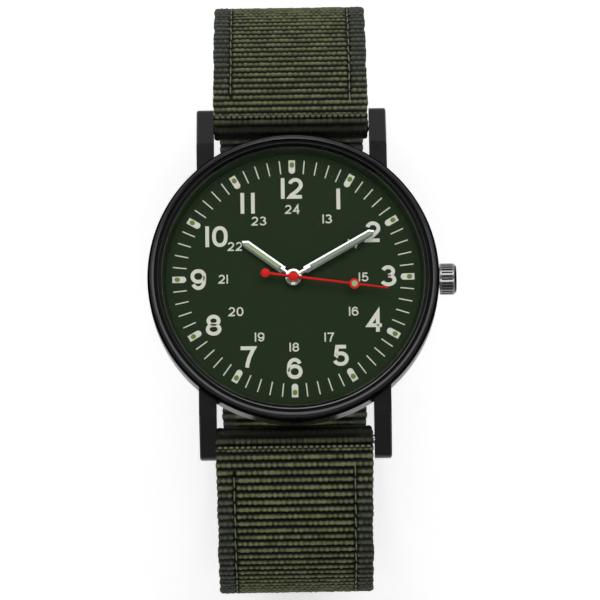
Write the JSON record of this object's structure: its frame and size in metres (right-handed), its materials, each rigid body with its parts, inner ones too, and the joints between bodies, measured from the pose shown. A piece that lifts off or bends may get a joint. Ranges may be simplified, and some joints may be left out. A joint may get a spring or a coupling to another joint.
{
  "type": "field watch",
  "caption": "Wristwatch with a round case, a three-hand dial under a flat crystal, a quartz movement and a woven strap closed by a pin buckle.",
  "frame": {"origin": "centre of the case back's outer face", "axes": "+Z out of the dial, +Y to 12 o'clock, +X to the crown at 3 o'clock"},
  "size_m": [0.0434, 0.0878, 0.0574],
  "materials": {
    "coated_case_steel": "gloss black coating on steel",
    "coated_crown_steel": "gloss gunmetal coating on steel",
    "bare_steel": "brushed",
    "crystal_glass": "polished, clear",
    "seal_rubber": "matte",
    "dial_enamel": "matte olive green",
    "ring_enamel": "satin black",
    "nickel_plate": "nickel-plated brass, satin",
    "train_brass": "polished",
    "holder_plastic": "moulded",
    "board_laminate": "satin",
    "chip_resin": "matte",
    "can_plate": "polished",
    "coil_copper": "enamelled wire",
    "magnet": "sintered",
    "hand_polish": "polished, bevelled",
    "lume": "matte pale green luminous paint",
    "second_red": "satin red",
    "strap_cloth": "ribbed olive weave"
  },
  "bodies": {
    "watch": {"case_middle": "coated_case_steel", "bezel": "coated_case_steel", "crystal": "crystal_glass", "crystal_gasket": "seal_rubber", "case_back": "bare_steel", "case_back_gasket": "seal_rubber", "dial": "dial_enamel", "rehaut_ring": "ring_enamel", "main_plate": "nickel_plate", "train_bridge": "nickel_plate", "train_bridge_screws": "bare_steel", "movement_holder": "holder_plastic", "battery": "bare_steel", "battery_clamp": "bare_steel", "circuit_board": "board_laminate", "control_chip": "chip_resin", "quartz_can": "can_plate", "motor_coil": "coil_copper", "stator": "bare_steel", "crown_tube": "bare_steel", "spring_bar_tube_12": "bare_steel", "spring_bar_tube_6": "bare_steel", "strap_short": "strap_cloth", "strap_long": "strap_cloth", "buckle_hinge_pin": "bare_steel", "keeper_fixed": "strap_cloth"},
    "seconds": {"fourth_wheel": "train_brass", "second_hand": "second_red", "second_hand_lume": "lume"},
    "third_wheel_body": {"third_wheel": "train_brass"},
    "minutes": {"centre_wheel": "train_brass", "minute_hand": "hand_polish", "minute_hand_lume": "lume"},
    "minute_wheel_body": {"minute_wheel": "train_brass"},
    "hours": {"hour_wheel": "train_brass", "hour_hand": "hand_polish", "hour_hand_lume": "lume"},
    "fifth_wheel_body": {"fifth_wheel": "train_brass"},
    "rotor_body": {"rotor": "magnet"},
    "sliding_pinion_body": {"sliding_pinion": "bare_steel"},
    "crown_and_stem": {"crown": "coated_crown_steel", "crown_gasket": "seal_rubber", "winding_stem": "bare_steel"},
    "setting_lever_body": {"setting_lever": "bare_steel"},
    "frame": {"buckle_frame": "coated_case_steel"},
    "tang": {"buckle_tang": "coated_case_steel"},
    "floating_keeper": {"keeper_floating": "strap_cloth"},
    "spring_bar_tip_12_crown_side_body": {"spring_bar_tip_12_crown_side": "bare_steel"},
    "spring_bar_tip_12_far_side_body": {"spring_bar_tip_12_far_side": "bare_steel"},
    "spring_bar_tip_6_crown_side_body": {"spring_bar_tip_6_crown_side": "bare_steel"},
    "spring_bar_tip_6_far_side_body": {"spring_bar_tip_6_far_side": "bare_steel"}
  },
  "joints": [
    {"name": "second_hand_turn", "type": "hinge", "parent": "watch", "child": "seconds", "pos_m": [0, 0, 0.0025], "axis": [0, 0, 1], "continuous": true},
    {"name": "third_wheel_turn", "type": "hinge", "parent": "watch", "child": "third_wheel_body", "pos_m": [-0.0024, 0.0024, 0.0027], "axis": [0, 0, 1], "continuous": true},
    {"name": "minute_hand_turn", "type": "hinge", "parent": "watch", "child": "minutes", "pos_m": [0, 0, 0.003], "axis": [0, 0, 1], "continuous": true},
    {"name": "minute_wheel_turn", "type": "hinge", "parent": "watch", "child": "minute_wheel_body", "pos_m": [0.00184, 0.00154, 0.004], "axis": [0, 0, 1], "continuous": true},
    {"name": "hour_hand_turn", "type": "hinge", "parent": "watch", "child": "hours", "pos_m": [0, 0, 0.0042], "axis": [0, 0, 1], "continuous": true},
    {"name": "fifth_wheel_turn", "type": "hinge", "parent": "watch", "child": "fifth_wheel_body", "pos_m": [0.0012, -0.00329, 0.00275], "axis": [0, 0, 1], "continuous": true},
    {"name": "rotor_turn", "type": "hinge", "parent": "watch", "child": "rotor_body", "pos_m": [0.00228, -0.00516, 0.0025], "axis": [0, 0, 1], "continuous": true},
    {"name": "crown_turn", "type": "hinge", "parent": "watch", "child": "sliding_pinion_body", "pos_m": [0, 0, 0.0026], "axis": [1, 0, 0], "continuous": true},
    {"name": "crown_pull", "type": "slide", "parent": "sliding_pinion_body", "child": "crown_and_stem", "axis": [1, 0, 0], "range_m": [0, 0.001]},
    {"name": "setting_lever_swing", "type": "hinge", "parent": "watch", "child": "setting_lever_body", "pos_m": [0.00595, -0.0018, 0.0018], "axis": [0, 0, 1], "range_deg": [-24.06, 0]},
    {"name": "buckle_frame_swing", "type": "hinge", "parent": "watch", "child": "frame", "pos_m": [0, 0.0065, -0.04475], "axis": [1, 0, 0], "range_deg": [0, 5]},
    {"name": "buckle_tang_swing", "type": "hinge", "parent": "frame", "child": "tang", "pos_m": [0, 0.0065, -0.04475], "axis": [1, 0, 0], "range_deg": [0, 8]},
    {"name": "keeper_slide", "type": "slide", "parent": "watch", "child": "floating_keeper", "axis": [0, 1, 0], "range_m": [-0.002, 0.004]},
    {"name": "spring_bar_tip_12_crown_side_press", "type": "slide", "parent": "watch", "child": "spring_bar_tip_12_crown_side_body", "axis": [-1, 0, 0], "range_m": [0, 0.0009], "stiffness_N_per_m": 1500},
    {"name": "spring_bar_tip_12_far_side_press", "type": "slide", "parent": "watch", "child": "spring_bar_tip_12_far_side_body", "axis": [1, 0, 0], "range_m": [0, 0.0009], "stiffness_N_per_m": 1500},
    {"name": "spring_bar_tip_6_crown_side_press", "type": "slide", "parent": "watch", "child": "spring_bar_tip_6_crown_side_body", "axis": [-1, 0, 0], "range_m": [0, 0.0009], "stiffness_N_per_m": 1500},
    {"name": "spring_bar_tip_6_far_side_press", "type": "slide", "parent": "watch", "child": "spring_bar_tip_6_far_side_body", "axis": [1, 0, 0], "range_m": [0, 0.0009], "stiffness_N_per_m": 1500}
  ],
  "couplings": [
    {"joint": "third_wheel_turn", "follows": "second_hand_turn", "ratio": -0.13333},
    {"joint": "minute_hand_turn", "follows": "second_hand_turn", "ratio": 0.016667},
    {"joint": "minute_wheel_turn", "follows": "second_hand_turn", "ratio": -0.0055556},
    {"joint": "hour_hand_turn", "follows": "second_hand_turn", "ratio": 0.0013889},
    {"joint": "fifth_wheel_turn", "follows": "second_hand_turn", "ratio": -6},
    {"joint": "rotor_turn", "follows": "second_hand_turn", "ratio": 30},
    {"joint": "setting_lever_swing", "follows": "crown_pull", "rad_per_m": -419.74}
  ]
}
